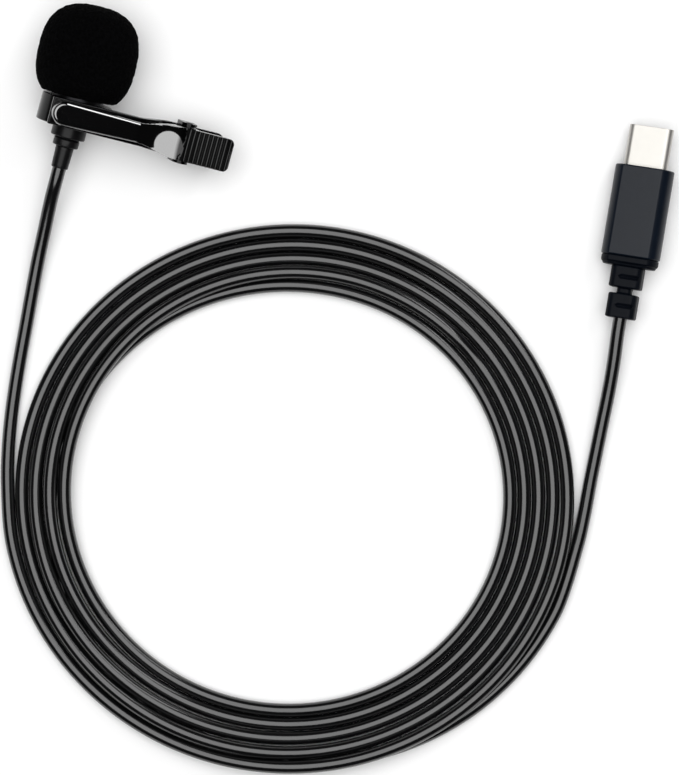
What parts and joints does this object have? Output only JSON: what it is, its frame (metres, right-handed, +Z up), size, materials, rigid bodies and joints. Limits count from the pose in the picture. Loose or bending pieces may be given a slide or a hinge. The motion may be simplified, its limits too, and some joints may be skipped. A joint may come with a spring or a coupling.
{
  "type": "lavalier microphone",
  "caption": "Clip-on lavalier microphone with foam windscreen, sprung lever clip that turns on its ring, and a long coiled lead ending in a USB-C plug.",
  "frame": {"origin": "on the surface the part lies on, under the centre of the box round the microphone head and its clip, without the lead and plug", "axes": "+X across the surface from the microphone towards the plug, about along the clip's levers, +Y across the surface away from the coil, +Z up from the surface"},
  "size_m": [0.1241, 0.1412, 0.0184],
  "materials": {
    "foam": "open-cell foam, matt",
    "black_metal": "satin black",
    "felt": "matt",
    "steel": "bright",
    "boot_rubber": "matt",
    "circuit_board": "solder mask",
    "wire_red": "satin",
    "black_plastic": "satin",
    "clip_plastic": "polished moulding",
    "cord": "satin",
    "plug_plastic": "fine satin",
    "chip": "matt",
    "ceramic": "satin",
    "shell_steel": "bright",
    "gold": "plated"
  },
  "bodies": {
    "microphone": {"foam_windscreen": "foam", "mic_housing": "black_metal", "grille_cap": "black_metal", "dust_felt": "felt", "electret_capsule": "steel", "capsule_boot": "boot_rubber", "capsule_board": "circuit_board", "signal_wires": "wire_red", "cable_collar": "black_plastic", "mic_strain_relief": "cord", "mic_lead": "cord", "cable_coil": "cord", "plug_lead": "cord", "plug_strain_relief": "plug_plastic", "plug_end_cap": "plug_plastic", "plug_body": "plug_plastic", "plug_board": "circuit_board", "codec_chip": "chip", "board_capacitors": "ceramic", "usb_shell": "shell_steel", "usb_insulator": "black_plastic", "usb_contacts": "gold", "usb_latches": "steel"},
    "clip": {"ring_lever": "clip_plastic", "hinge_pin": "steel", "torsion_spring": "steel"},
    "thumb_lever": {"thumb_lever": "clip_plastic"}
  },
  "joints": [
    {"name": "clip_swivel", "type": "hinge", "parent": "microphone", "child": "clip", "pos_m": [-0.01121, -0.00453, 0.00793], "axis": [-0.2652, -0.9564, -0.1219], "continuous": true},
    {"name": "jaw_hinge", "type": "hinge", "parent": "clip", "child": "thumb_lever", "pos_m": [0.00897, -0.00997, 0.00673], "axis": [0.2652, 0.9564, 0.1219], "range_deg": [0, 24], "stiffness_Nm_per_rad": 0.02, "springref_deg": -20.05, "deforming": ["torsion_spring"]}
  ]
}
